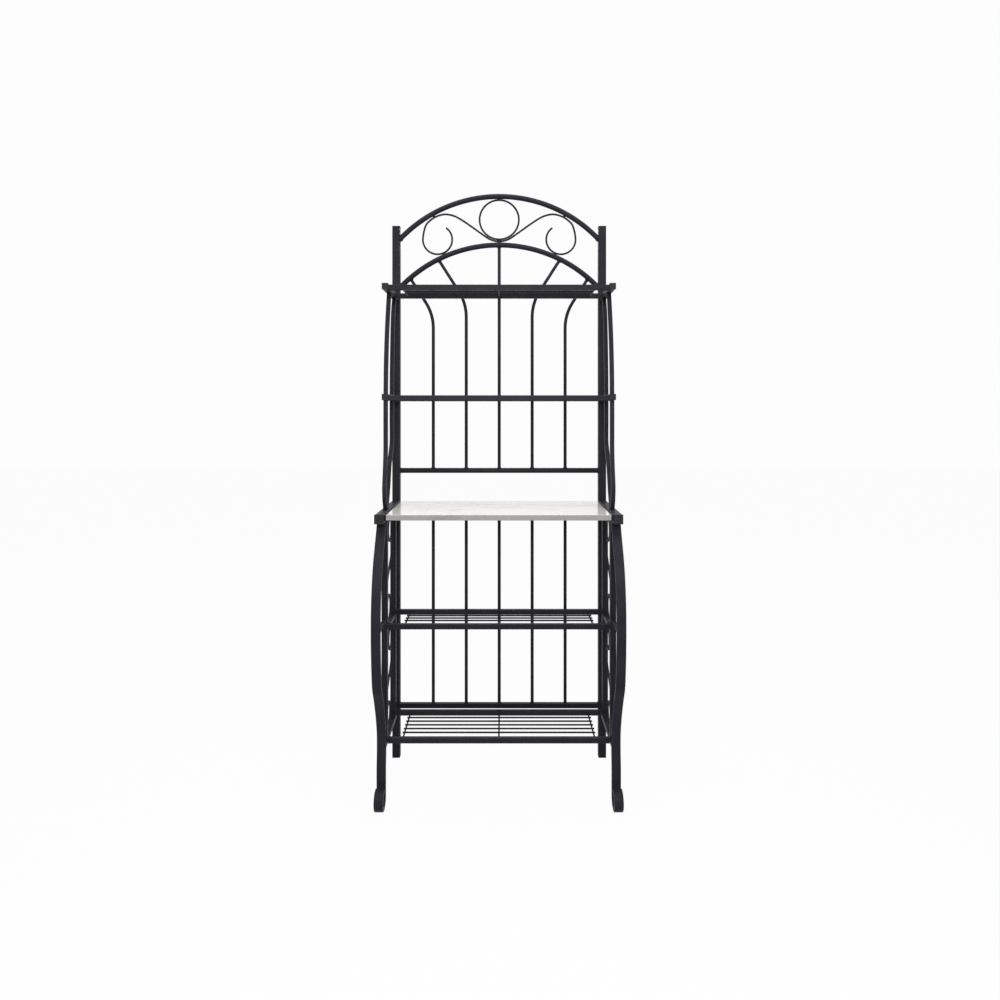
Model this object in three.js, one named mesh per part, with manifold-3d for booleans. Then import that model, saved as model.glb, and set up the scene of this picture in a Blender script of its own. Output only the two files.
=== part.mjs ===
// A bakers rack: two side frames of bent square tube, arched back panels, four wire shelves
// and a stone counter. Millimetres, +Z up. The front faces -Y, and the origin lies on the floor
// under the middle of the rack. Depths are measured forward from the rear posts' front faces.

import * as THREE from "three";
import { mergeVertices } from "three/addons/utils/BufferGeometryUtils.js";
import Module from "manifold-3d";

const wasm = await Module();
wasm.setup();

// Whole rack
const frameSpacing = 645;
const overallDepth = 390;
const jointGap = 0.3;
const weldOverlap = 0.8;
const trimReach = 80;

// Rear posts and their caps
const postSize = 24;
const postHeight = 1663;
const capThickness = 3;

// Front legs
const legSize = 25;
const legThickness = 12;
const legFootRadius = 23.4;
const footFlatDepth = 1;

// Uprights under the counter, and the ties that join the front ones to the legs
const uprightSize = 17;
const frontPostShare = 204 / 360;
const rearUprightDepth = 46;
const tieSize = 11;
const tieHeight = 492;

// Counter
const counterRailSize = 25;
const counterRailTop = 804;
const counterRailLead = 2;
const railCapLip = 0.5;
const ledgeThickness = 3;
const ledgeWidth = 17;
const ledgeInset = 10;
const slabSideClearance = 2.2;
const slabFrontSetback = 83.2;
const slabThickness = 15;
const slabDrop = 1;
const slabBackInset = 2;

// Wire shelves
const shelfRailSize = 15;
const lowerInset = 7.5;
const upperInset = 45;
const shelfWireSize = 5;
const shelfWirePitch = 25.4;
const shelfWireInset = 30.5;
const crossWireInset = 5;
const bottomShelfHeight = 148.5;
const middleShelfHeight = 461;
const tierShelfShare = 317 / 631;
const topShelfDrop = 228;
const wideShelfLead = 5.5;
const middleShelfSetback = 30;
const wideShelfWires = 5;
const middleShelfWires = 3;

// Side rails
const bottomRailWidth = 19;
const bottomRailThickness = 14;
const bottomRailLift = 4.5;
const middleRailSize = 13;
const tierRailSize = 17;
const tierRailLead = 0.5;
const tierRailLift = 2.5;

// Side bars between the counter and the top shelf
const sideBarSize = 12;
const innerBarDepth = 85;
const innerBarLean = 45;

// Back panels
const archTube = 16;
const archRise = 133;
const archCrownLift = 95;
const archOffset = 152.5;
const panelRodSize = 10;
const panelRodCount = 5;
const upperBarLift = 93.5;
const lowerTopBarDrop = 23;
const lowerBottomBarLift = 11.5;
const rodTilt = THREE.MathUtils.degToRad(32.5);
const outerRodBendDrop = 217.5;
const innerRodBendDrop = 182.5;
const rodBendRun = 45;

// Scroll wires
const scrollWire = 6;
const sideCurlShare = 0.155;
const sideCurlInnerShare = 0.42;
const archCurlRadius = 46;
const archCurlShare = 0.624;

const sidePlane = frameSpacing / 2;
const innerFace = sidePlane - postSize / 2;
const postFrontY = overallDepth / 2 - postSize;
const legBowReach = overallDepth - postSize - legThickness / 2;
const panelDepth = -postSize / 2;

// Depths that follow from the rack's
const frontPostDepth = frontPostShare * legBowReach;
const wideShelfReach = frontPostDepth + wideShelfLead;
const middleShelfReach = frontPostDepth - middleShelfSetback;
const tierRailReach = wideShelfReach + tierRailLead;
const slabDepth = overallDepth - slabBackInset - slabFrontSetback;
const counterRailReach = slabBackInset + slabDepth + counterRailLead;

// Widths that follow from the rack's
const slabWidth = frameSpacing - counterRailSize - 2 * (ledgeThickness + slabSideClearance);
const shelfWireReach = innerFace - shelfWireInset;
const crossWireReach = shelfWireReach - crossWireInset;

// Heights that follow from the counter's and the posts'
const counterUnderside = counterRailTop - counterRailSize;
const slabTop = counterRailTop - slabDrop;
const topShelfHeight = postHeight - topShelfDrop;
const tierShelfHeight = counterRailTop + tierShelfShare * (topShelfHeight - counterRailTop);
const upperBarHeight = counterRailTop + upperBarLift;
const lowerTopBarHeight = counterRailTop - lowerTopBarDrop;
const lowerBottomBarHeight = bottomShelfHeight + lowerBottomBarLift;
const bottomRailMid = bottomShelfHeight + bottomRailLift;
const bottomRailTop = bottomRailMid + bottomRailThickness / 2;
const tierRailHeight = tierShelfHeight + tierRailLift;
const topRailHeight = topShelfHeight + tierRailLift;
const archApexHeight = postHeight + archCrownLift;
const lowerApexHeight = archApexHeight - archOffset;

const blackCoat = { color: 0x29282d, roughness: 0.45, metalness: 0.55 };
const blackPlastic = { color: 0x1d1d20, roughness: 0.6, metalness: 0 };
const paleStone = { color: 0xece6e2, roughness: 0.22, metalness: 0 };

const rack = new THREE.Group();

function addMesh(name, geometry, finish) {
  const mesh = new THREE.Mesh(geometry, new THREE.MeshStandardMaterial(finish));
  mesh.name = name;
  rack.add(mesh);
  return mesh;
}

// Turns a depth into a Y coordinate.
function ahead(depth) {
  return postFrontY - depth;
}

function sidePoint(side, depth, height) {
  return new THREE.Vector3(side * sidePlane, ahead(depth), height);
}

// A block between two corners, each given as x, depth, height.
function block([x0, d0, z0], [x1, d1, z1]) {
  const geometry = new THREE.BoxGeometry(Math.abs(x1 - x0), Math.abs(d1 - d0), Math.abs(z1 - z0));
  geometry.translate((x0 + x1) / 2, ahead((d0 + d1) / 2), (z0 + z1) / 2);
  return geometry;
}

function squareSection(width, height = width) {
  const shape = new THREE.Shape();
  shape.moveTo(-width / 2, -height / 2);
  shape.lineTo(width / 2, -height / 2);
  shape.lineTo(width / 2, height / 2);
  shape.lineTo(-width / 2, height / 2);
  shape.closePath();
  return shape;
}

function roundSection(diameter, sides) {
  const points = [];
  for (let i = 0; i < sides; i++) {
    const angle = (2 * Math.PI * (i + 0.5)) / sides;
    points.push(new THREE.Vector2(Math.cos(angle), Math.sin(angle)).multiplyScalar(diameter / 2));
  }
  return new THREE.Shape(points);
}

function sweep(section, path, steps) {
  return new THREE.ExtrudeGeometry(section, { steps, extrudePath: path, bevelEnabled: false });
}

function uprightRod(x, depth, bottom, top, diameter, sides) {
  const geometry = new THREE.CylinderGeometry(diameter / 2, diameter / 2, top - bottom, sides);
  geometry.rotateX(Math.PI / 2);
  geometry.translate(x, ahead(depth), (bottom + top) / 2);
  return geometry;
}

function crossRod(reach, depth, height, diameter, sides) {
  const geometry = new THREE.CylinderGeometry(diameter / 2, diameter / 2, 2 * reach, sides);
  geometry.rotateZ(Math.PI / 2);
  geometry.translate(0, ahead(depth), height);
  return geometry;
}

function depthRod(x, depth0, depth1, height, diameter, sides) {
  const geometry = new THREE.CylinderGeometry(diameter / 2, diameter / 2, depth1 - depth0, sides);
  geometry.translate(x, ahead((depth0 + depth1) / 2), height);
  return geometry;
}

function toSolid(geometry) {
  const bare = geometry.clone();
  bare.deleteAttribute("normal");
  bare.deleteAttribute("uv");
  const merged = mergeVertices(bare);
  return new wasm.Manifold(new wasm.Mesh({
    numProp: 3,
    vertProperties: new Float32Array(merged.attributes.position.array),
    triVerts: new Uint32Array(merged.index.array),
  }));
}

function toGeometry(solid) {
  const mesh = solid.getMesh();
  const geometry = new THREE.BufferGeometry();
  geometry.setAttribute("position", new THREE.BufferAttribute(new Float32Array(mesh.vertProperties), 3));
  geometry.setIndex(new THREE.BufferAttribute(new Uint32Array(mesh.triVerts), 1));
  geometry.computeVertexNormals();
  return geometry;
}

function join(geometries) {
  return toGeometry(geometries.map(toSolid).reduce((whole, next) => whole.add(next)));
}

// Cuts away what a tube has inside the given blocks, for a flat end against its neighbour.
function trim(geometry, blocks) {
  return toGeometry(blocks.map(toSolid).reduce((rest, cutter) => rest.subtract(cutter), toSolid(geometry)));
}

// The shares of the bow's reach and of the counter's underside height that the leg passes through,
// and the share of the reach by which the foot's curl starts further forward.
const legFootShare = 0.002;
const legBowShares = [
  [0.7005, 1.04], [0.771, 0.972], [0.922, 0.852], [0.986, 0.745], [1, 0.652], [0.986, 0.54], [0.945, 0.447],
  [0.887, 0.402], [0.833, 0.357], [0.787, 0.312], [0.747, 0.25], [0.744, 0.195], [0.758, 0.13],
];
const footDepth = (legBowShares.at(-1)[0] + legFootShare) * legBowReach + legFootRadius;
const footHeight = legFootRadius + legThickness / 2 - footFlatDepth;

// The leg's middle line: the bow, then three quarters of a turn that end level above the foot.
function legPath(side) {
  const points = legBowShares.map(([reach, height]) => (
    sidePoint(side, reach * legBowReach, height * counterUnderside)
  ));
  const footSteps = 9;
  for (let i = 0; i <= footSteps; i++) {
    const angle = (1.5 * Math.PI * i) / footSteps;
    const depth = footDepth - legFootRadius * Math.cos(angle);
    points.push(sidePoint(side, depth, footHeight - legFootRadius * Math.sin(angle)));
  }
  points.push(sidePoint(side, footDepth - capThickness, footHeight + legFootRadius));
  return new THREE.CatmullRomCurve3(points, false, "centripetal");
}

function legSweep(path, clearance) {
  return sweep(squareSection(legSize + 2 * clearance, legThickness + 2 * clearance), path, 160);
}

// The leg is cut level under the counter, flat on the floor, and upright where its foot's plug sits.
function addFrontLeg(side, sideName, path) {
  const x = side * sidePlane;
  const half = legSize / 2;
  const left = x - legSize;
  const right = x + legSize;
  const toeHeight = footHeight + legFootRadius;
  const cutters = [
    block([left, 0, counterUnderside - jointGap], [right, overallDepth, counterUnderside + trimReach]),
    block([left, 0, -trimReach], [right, overallDepth, 0]),
    block(
      [left, footDepth - 2 * capThickness, toeHeight - legThickness],
      [right, footDepth, toeHeight + legThickness],
    ),
  ];
  addMesh(`front_leg_${sideName}`, trim(legSweep(path, 0), cutters), blackCoat);
  const plugFront = footDepth - jointGap;
  addMesh(`front_leg_plug_${sideName}`, block(
    [x - half, plugFront - capThickness, toeHeight - legThickness / 2],
    [x + half, plugFront, toeHeight + legThickness / 2],
  ), blackPlastic);
}

// How far forward the leg's centre line lies at a height above its foot.
function legDepthAt(path, height) {
  const point = path.getPoints(400).find((place) => place.z <= height);
  return postFrontY - point.y;
}

function addRearPost(side, sideName) {
  const x = side * sidePlane;
  const half = postSize / 2;
  const foot = capThickness + jointGap;
  addMesh(`rear_post_${sideName}`, block(
    [x - half, -postSize, foot],
    [x + half, 0, postHeight - foot],
  ), blackCoat);
  addMesh(`rear_post_cap_${sideName}`, block(
    [x - half, -postSize, postHeight - capThickness],
    [x + half, 0, postHeight],
  ), blackPlastic);
  addMesh(`rear_foot_glide_${sideName}`, block(
    [x - half, -postSize, 0],
    [x + half, 0, capThickness],
  ), blackPlastic);
}

// A square upright that stands on the bottom side rail under the counter's rail.
function uprightBlock(x, depth) {
  const half = uprightSize / 2;
  return block(
    [x - half, depth, bottomRailTop + jointGap],
    [x + half, depth + uprightSize, counterUnderside - jointGap],
  );
}

function addFrontPost(side, sideName, leg, legCope) {
  const x = side * sidePlane;
  const tieHalf = tieSize / 2;
  const tie = block(
    [x - tieHalf, frontPostDepth + uprightSize - weldOverlap, tieHeight - tieHalf],
    [x + tieHalf, legDepthAt(leg, tieHeight), tieHeight + tieHalf],
  );
  addMesh(`front_post_${sideName}`, trim(join([uprightBlock(x, frontPostDepth), tie]), [legCope]), blackCoat);
}

// The middle side rail is welded to the rear upright that it passes.
function addLowerSideRails(side, sideName, leg, legCope) {
  const x = side * sidePlane;
  const bottomRail = block(
    [x - bottomRailWidth / 2, jointGap, bottomRailMid - bottomRailThickness / 2],
    [x + bottomRailWidth / 2, legDepthAt(leg, bottomRailMid), bottomRailTop],
  );
  addMesh(`bottom_side_rail_${sideName}`, trim(bottomRail, [legCope]), blackCoat);
  const middleRail = block(
    [x - middleRailSize / 2, jointGap, middleShelfHeight - middleRailSize / 2],
    [x + middleRailSize / 2, frontPostDepth - jointGap, middleShelfHeight + middleRailSize / 2],
  );
  addMesh(`middle_side_rail_${sideName}`, join([middleRail, uprightBlock(x, rearUprightDepth)]), blackCoat);
}

// The counter's side rail is a square tube with an angle welded along its inner face.
function addCounterRail(side, sideName) {
  const x = side * sidePlane;
  const half = counterRailSize / 2;
  const railInner = x - side * half;
  const lipInner = railInner - side * ledgeThickness;
  const ledgeInner = railInner - side * ledgeWidth;
  const ledgeTop = slabTop - slabThickness - jointGap;
  const ledgeEnd = slabBackInset + slabDepth - ledgeInset;
  const tube = block([x - half, jointGap, counterUnderside], [x + half, counterRailReach, counterRailTop]);
  const lip = block(
    [railInner + side * weldOverlap, ledgeInset, ledgeTop - ledgeThickness],
    [lipInner, ledgeEnd, slabTop - ledgeThickness],
  );
  const ledge = block(
    [railInner + side * weldOverlap, ledgeInset, ledgeTop - ledgeThickness],
    [ledgeInner, ledgeEnd, ledgeTop],
  );
  addMesh(`counter_side_rail_${sideName}`, join([tube, lip, ledge]), blackCoat);
  const capHalf = half + railCapLip;
  const capMid = counterRailTop - half;
  const capBack = counterRailReach + jointGap;
  addMesh(`counter_rail_cap_${sideName}`, block(
    [x - capHalf, capBack, capMid - capHalf],
    [x + capHalf, capBack + capThickness, capMid + capHalf],
  ), blackPlastic);
}

function addCounterSlab() {
  addMesh("counter_slab", block(
    [-slabWidth / 2, slabBackInset, slabTop - slabThickness],
    [slabWidth / 2, slabBackInset + slabDepth, slabTop],
  ), paleStone);
}

// A welded shelf: a rail at the front and the back, cross wires, and long wires lying on them.
function addWireShelf(name, height, inset, reach, wireCount, railEnd) {
  const half = shelfRailSize / 2;
  const railFront = reach - shelfRailSize;
  const backFront = inset + shelfRailSize;
  const pieces = [
    block([-railEnd, inset, height - half], [railEnd, backFront, height + half]),
    block([-railEnd, railFront, height - half], [railEnd, reach, height + half]),
  ];
  const wireLift = (shelfWireSize - weldOverlap) / 2;
  for (const x of [-crossWireReach, 0, crossWireReach]) {
    const start = backFront - weldOverlap;
    const end = railFront + weldOverlap;
    pieces.push(depthRod(x, start, end, height - wireLift, shelfWireSize, 6));
  }
  const middle = (backFront + railFront) / 2;
  for (let i = 0; i < wireCount; i++) {
    const depth = middle + (i - (wireCount - 1) / 2) * shelfWirePitch;
    pieces.push(crossRod(shelfWireReach, depth, height + wireLift, shelfWireSize, 6));
  }
  addMesh(name, join(pieces), blackCoat);
}

function addTierRail(level, height, side, sideName) {
  const x = side * sidePlane;
  const half = tierRailSize / 2;
  addMesh(`${level}_side_rail_${sideName}`, block(
    [x - half, jointGap, height - half],
    [x + half, tierRailReach, height + half],
  ), blackCoat);
  const capHalf = half + railCapLip;
  const capBack = tierRailReach + jointGap;
  addMesh(`${level}_rail_cap_${sideName}`, block(
    [x - capHalf, capBack, height - capHalf],
    [x + capHalf, capBack + capThickness, height + capHalf],
  ), blackPlastic);
}

// The outer side bar's places: shares of the tier rail's reach, and of the rise that it spans.
const upperBarShares = [[0.62, 1.05], [0.72, 0.86], [0.84, 0.56], [0.915, 0.24], [0.938, -0.05]];
const lowerBarShares = [
  [0.943, 1.04], [0.943, 0.75], [0.945, 0.53], [0.99, 0.36], [1.045, 0.2], [1.01, 0.07], [0.9, -0.04],
];
const innerFootShares = [[0.5, 0.5], [0.64, 0.376], [0.7, 0.26], [0.77, 0.148], [0.86, 0.04], [0.93, -0.04]];

// The upper inner bar's places: shares of its lean to the rear, and of the rise that it spans.
const innerLeanShares = [[1.3, 1.05], [0.66, 0.86], [0.3, 0.56], [0.08, 0.24], [0, -0.05]];

function barPath(side, shares, bottom, top) {
  const points = shares.map(([reach, rise]) => (
    sidePoint(side, reach * tierRailReach, bottom + rise * (top - bottom))
  ));
  return new THREE.CatmullRomCurve3(points, false, "centripetal");
}

// Blocks that leave a bar only between a rail's top at the bottom and a rail's underside at the top.
function railCutters(side, bottom, top) {
  const x = side * sidePlane;
  return [
    block([x - sideBarSize, 0, bottom - trimReach], [x + sideBarSize, overallDepth, bottom]),
    block([x - sideBarSize, 0, top], [x + sideBarSize, overallDepth, top + trimReach]),
  ];
}

function addSideBars(side, sideName) {
  const railHalf = tierRailSize / 2;
  const section = squareSection(sideBarSize);
  const upperBottom = tierRailHeight + railHalf + jointGap;
  const upperTop = topRailHeight - railHalf - jointGap;
  const upperInnerShares = innerLeanShares.map(([lean, rise]) => (
    [(innerBarDepth - lean * innerBarLean) / tierRailReach, rise]
  ));
  const uppers = [["upper_outer_bar", upperBarShares], ["upper_inner_bar", upperInnerShares]];
  for (const [name, shares] of uppers) {
    const bar = sweep(section, barPath(side, shares, upperBottom, upperTop), 14);
    addMesh(`${name}_${sideName}`, trim(bar, railCutters(side, upperBottom, upperTop)), blackCoat);
  }

  const lowerBottom = counterRailTop + jointGap;
  const lowerTop = tierRailHeight - railHalf - jointGap;
  const outer = sweep(section, barPath(side, lowerBarShares, lowerBottom, lowerTop), 26);
  const straightShare = innerBarDepth / tierRailReach;
  const innerShares = [[straightShare, 1.04], [straightShare, 0.8], [straightShare, 0.6], ...innerFootShares];
  const inner = sweep(section, barPath(side, innerShares, lowerBottom, lowerTop), 26);
  const cutters = railCutters(side, lowerBottom, lowerTop);
  addMesh(`lower_side_bars_${sideName}`, trim(join([outer, inner]), cutters), blackCoat);
}

// An S of wire that fills a bay of the side frame: a curl at the top rear, a sweep forward and
// down, and the same curl turned half round at the bottom front.
class SideScrollCurve extends THREE.Curve {
  constructor(side, bottom, top) {
    super();
    const edge = jointGap + scrollWire / 2;
    this.side = side;
    this.rear = rearUprightDepth + uprightSize + edge;
    this.front = frontPostDepth - edge;
    this.bottom = bottom + edge;
    this.top = top - edge;
    this.curlRadius = sideCurlShare * (top - bottom);
    this.curlTurn = THREE.MathUtils.degToRad(315);
  }

  // A point of the upper half, from the curl's inner end (0) to the middle of the sweep (1).
  halfPoint(t) {
    const curlShare = 0.62;
    const growthShare = 1.5;
    const centreDepth = this.rear + this.curlRadius;
    const centreHeight = this.top - this.curlRadius;
    if (t < curlShare) {
      const s = t / curlShare;
      const angle = Math.PI - this.curlTurn * (1 - s);
      const grow = Math.min(1, sideCurlInnerShare + (1 - sideCurlInnerShare) * s * growthShare);
      const radius = this.curlRadius * grow;
      return [centreDepth + radius * Math.cos(angle), centreHeight + radius * Math.sin(angle)];
    }
    const s = ((t - curlShare) / (1 - curlShare)) / 2;
    const drop = (centreHeight - (this.bottom + this.curlRadius)) / 2;
    const sweepCurve = new THREE.CubicBezierCurve(
      new THREE.Vector2(this.rear, centreHeight),
      new THREE.Vector2(this.rear, centreHeight - drop),
      new THREE.Vector2(this.front, this.bottom + this.curlRadius + drop),
      new THREE.Vector2(this.front, this.bottom + this.curlRadius),
    );
    const point = sweepCurve.getPoint(s);
    return [point.x, point.y];
  }

  getPoint(t) {
    const turned = t > 0.5;
    const [depth, height] = this.halfPoint(2 * (turned ? 1 - t : t));
    if (turned) {
      return sidePoint(this.side, this.rear + this.front - depth, this.bottom + this.top - height);
    }
    return sidePoint(this.side, depth, height);
  }
}

function addSideScrolls(side, sideName) {
  const section = roundSection(scrollWire, 6);
  const middleHalf = middleRailSize / 2;
  const bays = [
    ["lower", bottomRailTop, middleShelfHeight - middleHalf],
    ["upper", middleShelfHeight + middleHalf, counterUnderside],
  ];
  for (const [level, bottom, top] of bays) {
    const path = new SideScrollCurve(side, bottom, top);
    addMesh(`${level}_side_scroll_${sideName}`, sweep(section, path, 64), blackCoat);
  }
}

const archRadius = (innerFace ** 2 + archRise ** 2) / (2 * archRise);

function archCentreHeight(apex) {
  return apex - archRadius;
}

// An arc of round tube that runs past the inner faces of the rear posts at both ends.
function archSweep(apex, diameter) {
  const spare = THREE.MathUtils.degToRad(2);
  const reach = Math.asin(innerFace / archRadius) + spare;
  const centre = archCentreHeight(apex);
  const points = [];
  const spans = 24;
  for (let i = 0; i <= spans; i++) {
    const angle = reach * ((2 * i) / spans - 1);
    points.push(new THREE.Vector3(
      archRadius * Math.sin(angle),
      ahead(panelDepth),
      centre + archRadius * Math.cos(angle),
    ));
  }
  return sweep(roundSection(diameter, 10), new THREE.CatmullRomCurve3(points), 28);
}

// An arch whose ends stand flat against the inner faces of the rear posts.
function addArch(name, apex) {
  const end = innerFace - jointGap;
  const cutters = [-1, 1].map((side) => block(
    [side * end, -trimReach, archCentreHeight(apex)],
    [side * (end + trimReach), trimReach, apex],
  ));
  addMesh(name, trim(archSweep(apex, archTube), cutters), blackCoat);
}

// The ring hangs from the upper arch, and the scroll wire passes under it.
const ringTop = archApexHeight - archTube / 2 - jointGap;
const scrollLow = lowerApexHeight + archTube / 2 + jointGap;
const ringBottom = scrollLow + scrollWire + 2 * jointGap;
const ringRadius = (ringTop - ringBottom) / 2;
const ringHeight = (ringTop + ringBottom) / 2;

function addRing() {
  const geometry = new THREE.TorusGeometry(ringRadius - scrollWire / 2, scrollWire / 2, 6, 32);
  geometry.rotateX(Math.PI / 2);
  geometry.translate(0, ahead(panelDepth), ringHeight);
  addMesh("arch_ring", geometry, blackCoat);
}

// The crown of the scroll: shares of the arch's half width, and of the offset above the lower apex.
const scrollCrownShares = [
  [0.742, 0.403], [0.7, 0.503], [0.637, 0.585], [0.55, 0.632], [0.456, 0.597], [0.37, 0.503],
];

// Half of the scroll wire, from the inner end of its curl to the middle under the ring.
function scrollHalf() {
  const points = [];
  const reach = archRadius + archTube / 2 + jointGap + scrollWire / 2 + archCurlRadius;
  const centreX = archCurlShare * innerFace;
  const centreZ = archCentreHeight(lowerApexHeight) + Math.sqrt(reach ** 2 - centreX ** 2);
  const curlStart = THREE.MathUtils.degToRad(126);
  const curlTurn = THREE.MathUtils.degToRad(234);
  const curlSteps = 11;
  for (let i = 0; i <= curlSteps; i++) {
    const angle = curlStart + (curlTurn * i) / curlSteps;
    points.push([centreX + archCurlRadius * Math.cos(angle), centreZ + archCurlRadius * Math.sin(angle)]);
  }
  for (const [x, rise] of scrollCrownShares) {
    points.push([x * innerFace, lowerApexHeight + rise * archOffset]);
  }
  const wrapRadius = ringRadius + 1.5 * jointGap + scrollWire / 2;
  const wrapAngle = THREE.MathUtils.degToRad(35.2);
  const wrapSteps = 4;
  for (let i = 0; i <= wrapSteps; i++) {
    const angle = wrapAngle * (1 - i / wrapSteps);
    points.push([wrapRadius * Math.sin(angle), ringHeight - wrapRadius * Math.cos(angle)]);
  }
  return points;
}

function addArchScroll() {
  const half = scrollHalf();
  const mirrored = half.slice(0, -1).reverse().map(([x, z]) => [-x, z]);
  const points = [...half, ...mirrored].map(([x, z]) => new THREE.Vector3(x, ahead(panelDepth), z));
  const path = new THREE.CatmullRomCurve3(points, false, "centripetal");
  addMesh("arch_scroll_wire", sweep(roundSection(scrollWire, 6), path, 104), blackCoat);
}

// A rod that rises from the bar and leans outward near its top, where it is coped to the lower arch.
function addUpperRod(index) {
  const name = `upper_back_rod_${index + 1}`;
  const order = index - (panelRodCount - 1) / 2;
  const x = (order * 2 * innerFace) / (panelRodCount + 1);
  const bottom = upperBarHeight + archTube / 2 + jointGap;
  const centre = archCentreHeight(lowerApexHeight);
  const seat = archRadius - archTube / 4;
  const cope = archSweep(lowerApexHeight, archTube + 2 * jointGap);
  if (order === 0) {
    const straight = uprightRod(x, panelDepth, bottom, centre + seat, panelRodSize, 8);
    addMesh(name, trim(straight, [cope]), blackCoat);
    return;
  }
  const side = Math.sign(order);
  const bendHeight = lowerApexHeight - (Math.abs(order) > 1 ? outerRodBendDrop : innerRodBendDrop);
  const leanX = side * Math.sin(rodTilt);
  const leanZ = Math.cos(rodTilt);
  const fromX = x;
  const fromZ = bendHeight - centre;
  const along = fromX * leanX + fromZ * leanZ;
  const length = -along + Math.sqrt(along ** 2 - (fromX ** 2 + fromZ ** 2 - seat ** 2));
  const place = (px, pz) => new THREE.Vector3(px, ahead(panelDepth), pz);
  const path = new THREE.CurvePath();
  const bendStart = place(x, bendHeight - rodBendRun);
  const bendEnd = place(x + leanX * rodBendRun, bendHeight + leanZ * rodBendRun);
  path.add(new THREE.LineCurve3(place(x, bottom), bendStart));
  path.add(new THREE.QuadraticBezierCurve3(bendStart, place(x, bendHeight), bendEnd));
  path.add(new THREE.LineCurve3(bendEnd, place(x + leanX * length, bendHeight + leanZ * length)));
  addMesh(name, trim(sweep(roundSection(panelRodSize, 8), path, 26), [cope]), blackCoat);
}

function addBackPanels() {
  const end = innerFace - jointGap;
  const half = shelfRailSize / 2;
  addArch("upper_arch", archApexHeight);
  addArch("lower_arch", lowerApexHeight);
  addRing();
  addArchScroll();
  addMesh("upper_panel_bar", crossRod(end, panelDepth, upperBarHeight, archTube, 10), blackCoat);
  const bars = [["lower_panel_top_bar", lowerTopBarHeight], ["lower_panel_bottom_bar", lowerBottomBarHeight]];
  for (const [name, height] of bars) {
    addMesh(name, block(
      [-end, panelDepth - half, height - half],
      [end, panelDepth + half, height + half],
    ), blackCoat);
  }
  const rodBottom = lowerBottomBarHeight + half + jointGap;
  const rodTop = lowerTopBarHeight - half - jointGap;
  for (let i = 0; i < panelRodCount; i++) {
    addUpperRod(i);
    const x = ((i - (panelRodCount - 1) / 2) * 2 * innerFace) / (panelRodCount + 1);
    const lowerRod = uprightRod(x, panelDepth, rodBottom, rodTop, panelRodSize, 8);
    addMesh(`lower_back_rod_${i + 1}`, lowerRod, blackCoat);
  }
}

function addSideFrame(side, sideName) {
  const leg = legPath(side);
  const legCope = legSweep(leg, jointGap);
  addFrontLeg(side, sideName, leg);
  addRearPost(side, sideName);
  addFrontPost(side, sideName, leg, legCope);
  addLowerSideRails(side, sideName, leg, legCope);
  addCounterRail(side, sideName);
  addTierRail("tier", tierRailHeight, side, sideName);
  addTierRail("top", topRailHeight, side, sideName);
  addSideBars(side, sideName);
  addSideScrolls(side, sideName);
}

function addShelves() {
  const tierEnd = sidePlane - tierRailSize / 2 - jointGap;
  const middleEnd = sidePlane - middleRailSize / 2 - jointGap;
  const bottomEnd = sidePlane - bottomRailWidth / 2 - jointGap;
  addWireShelf("bottom_shelf", bottomShelfHeight, lowerInset, wideShelfReach, wideShelfWires, bottomEnd);
  addWireShelf("middle_shelf", middleShelfHeight, lowerInset, middleShelfReach, middleShelfWires, middleEnd);
  addWireShelf("tier_shelf", tierShelfHeight, upperInset, wideShelfReach, wideShelfWires, tierEnd);
  addWireShelf("top_shelf", topShelfHeight, upperInset, wideShelfReach, wideShelfWires, tierEnd);
}

addSideFrame(-1, "left");
addSideFrame(1, "right");
addBackPanels();
addShelves();
addCounterSlab();

export default rack;
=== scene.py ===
"""A bakers rack: smooth tubes, wires, weld beads and finishes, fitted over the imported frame."""
import math

import bmesh
import bpy
from bpy.props import FloatProperty, FloatVectorProperty, IntProperty, PointerProperty
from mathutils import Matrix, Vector, noise


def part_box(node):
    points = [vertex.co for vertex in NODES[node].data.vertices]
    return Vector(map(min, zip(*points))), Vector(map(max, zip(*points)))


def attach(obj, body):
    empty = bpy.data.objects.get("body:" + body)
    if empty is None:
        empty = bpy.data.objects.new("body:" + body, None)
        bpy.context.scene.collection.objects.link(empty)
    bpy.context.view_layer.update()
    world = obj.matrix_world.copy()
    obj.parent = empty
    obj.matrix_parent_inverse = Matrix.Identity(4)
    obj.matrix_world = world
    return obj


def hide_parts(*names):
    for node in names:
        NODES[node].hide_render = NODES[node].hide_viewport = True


bl_info = {
    "name": "Bakers Rack",
    "version": (1, 0, 0),
    "blender": (4, 5, 0),
    "location": "View3D > Sidebar > Rack",
    "description": "Builds the fine surfaces and finishes of a bakers rack",
    "category": "Add Mesh",
}

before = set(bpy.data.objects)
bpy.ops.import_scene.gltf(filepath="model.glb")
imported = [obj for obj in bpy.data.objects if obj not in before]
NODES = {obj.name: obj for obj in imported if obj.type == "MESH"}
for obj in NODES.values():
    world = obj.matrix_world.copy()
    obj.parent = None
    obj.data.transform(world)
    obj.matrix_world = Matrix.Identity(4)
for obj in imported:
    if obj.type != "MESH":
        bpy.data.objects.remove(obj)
SIDES = (("left", -1), ("right", 1))
ACROSS = Vector((1, 0, 0))
DEPTH = Vector((0, 1, 0))
UP = Vector((0, 0, 1))

COAT = "black_powder_coat"
PLASTIC = "black_plastic"
STONE = "pale_stone"

POST_LOW, POST_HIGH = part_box("rear_post_right")
POST_FRONT = POST_LOW.y
POST_INNER = POST_LOW.x
SIDE_PLANE = (POST_LOW.x + POST_HIGH.x) / 2
PANEL_Y = (POST_LOW.y + POST_HIGH.y) / 2

# Gaps between welded pieces, and how far crossed wires are sunk into each other
JOINT_GAP = 0.0003
WIRE_SINK = 0.0008

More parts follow.
